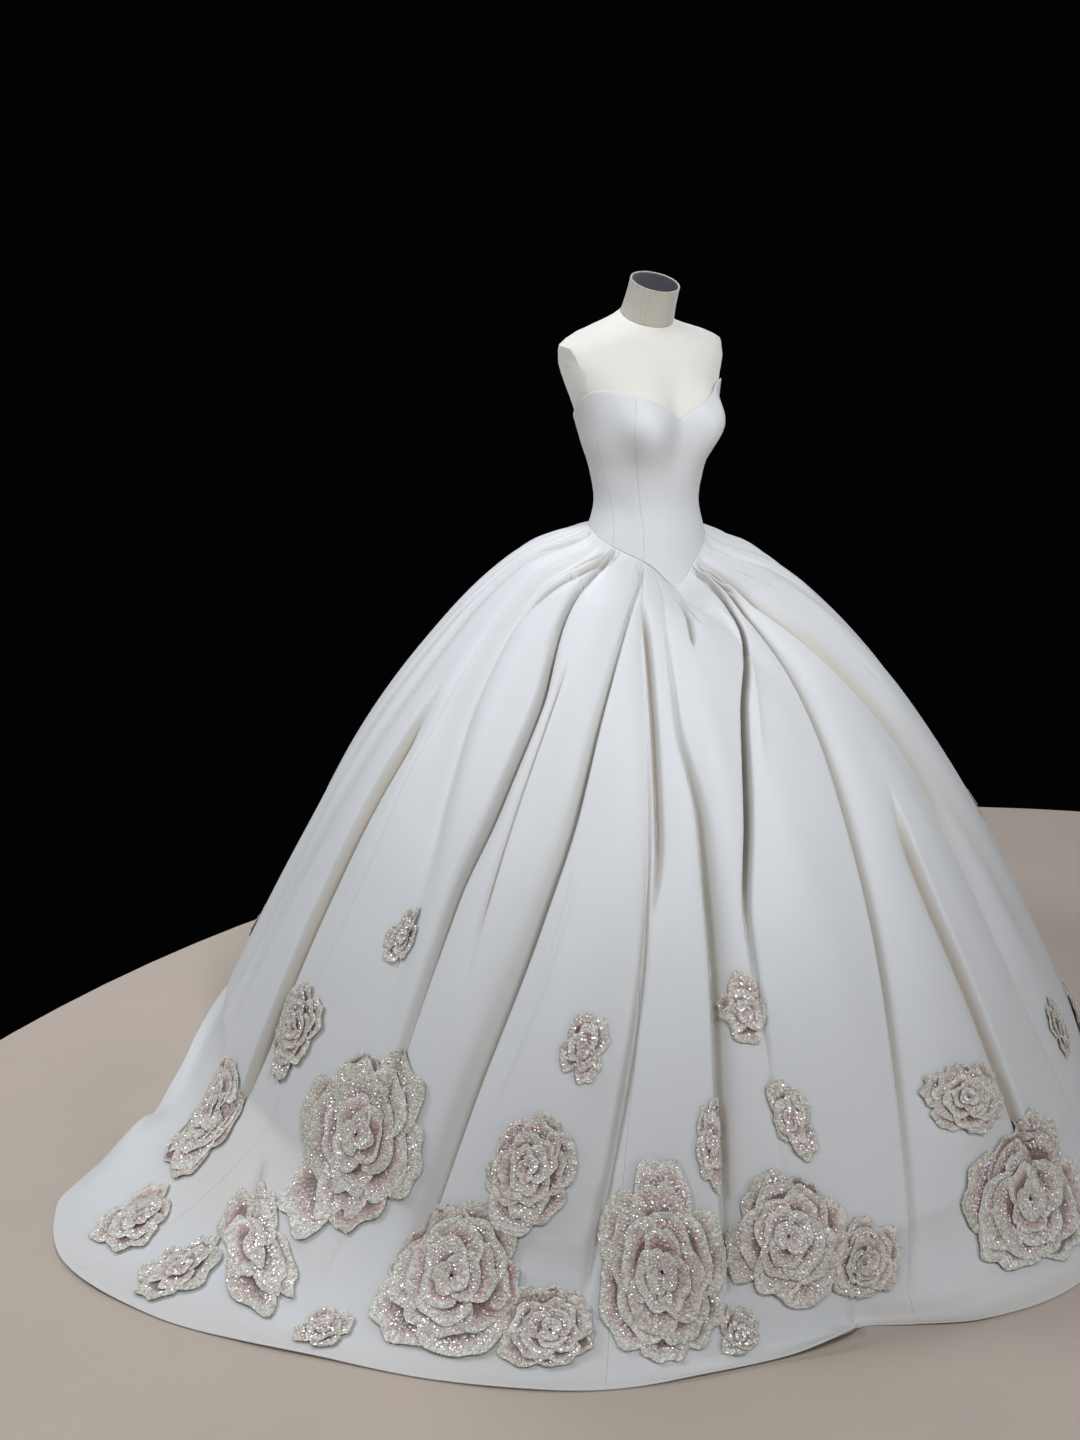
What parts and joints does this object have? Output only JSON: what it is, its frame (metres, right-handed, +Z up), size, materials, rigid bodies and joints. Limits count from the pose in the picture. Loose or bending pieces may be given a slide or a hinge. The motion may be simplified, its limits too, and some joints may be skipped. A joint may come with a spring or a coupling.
{
  "type": "ball gown on a dress form",
  "caption": "Strapless ball gown with a basque waist, a wide pleated skirt and sequinned roses near the hem, standing on a limbless dress form.",
  "frame": {"origin": "centre of the underside of the dress form's foot, on the floor", "axes": "+Z up, the gown faces -Y, +X towards the wearer's left"},
  "size_m": [2.3403, 2.1576, 1.6918],
  "materials": {
    "satin": "cool white heavy satin, soft sheen",
    "form_linen": "cream linen, matt",
    "neck_cloth": "beige linen, matt",
    "neck_cap": "dark grey, satin",
    "stand": "dark steel, satin",
    "rose_petals": "cream organza and beads with a frayed edge",
    "sequins": "dusty pink and clear sequins, sparkling"
  },
  "bodies": {
    "root": {"bodice_centre_front": "satin", "bodice_side_front_right": "satin", "bodice_side_front_left": "satin", "bodice_side_right": "satin", "bodice_side_left": "satin", "bodice_side_back_right": "satin", "bodice_side_back_left": "satin", "bodice_back_right": "satin", "bodice_back_left": "satin", "skirt_front_right": "satin", "skirt_front_centre": "satin", "skirt_front_left": "satin", "skirt_side_left": "satin", "skirt_side_back_left": "satin", "skirt_back_left": "satin", "skirt_back_right": "satin", "skirt_side_back_right": "satin", "form_body": "form_linen", "form_arm_plate_right": "form_linen", "form_arm_plate_left": "form_linen", "form_neck": "neck_cloth", "form_neck_cap": "neck_cap", "form_pole": "stand", "form_foot": "stand"}
  },
  "joints": []
}
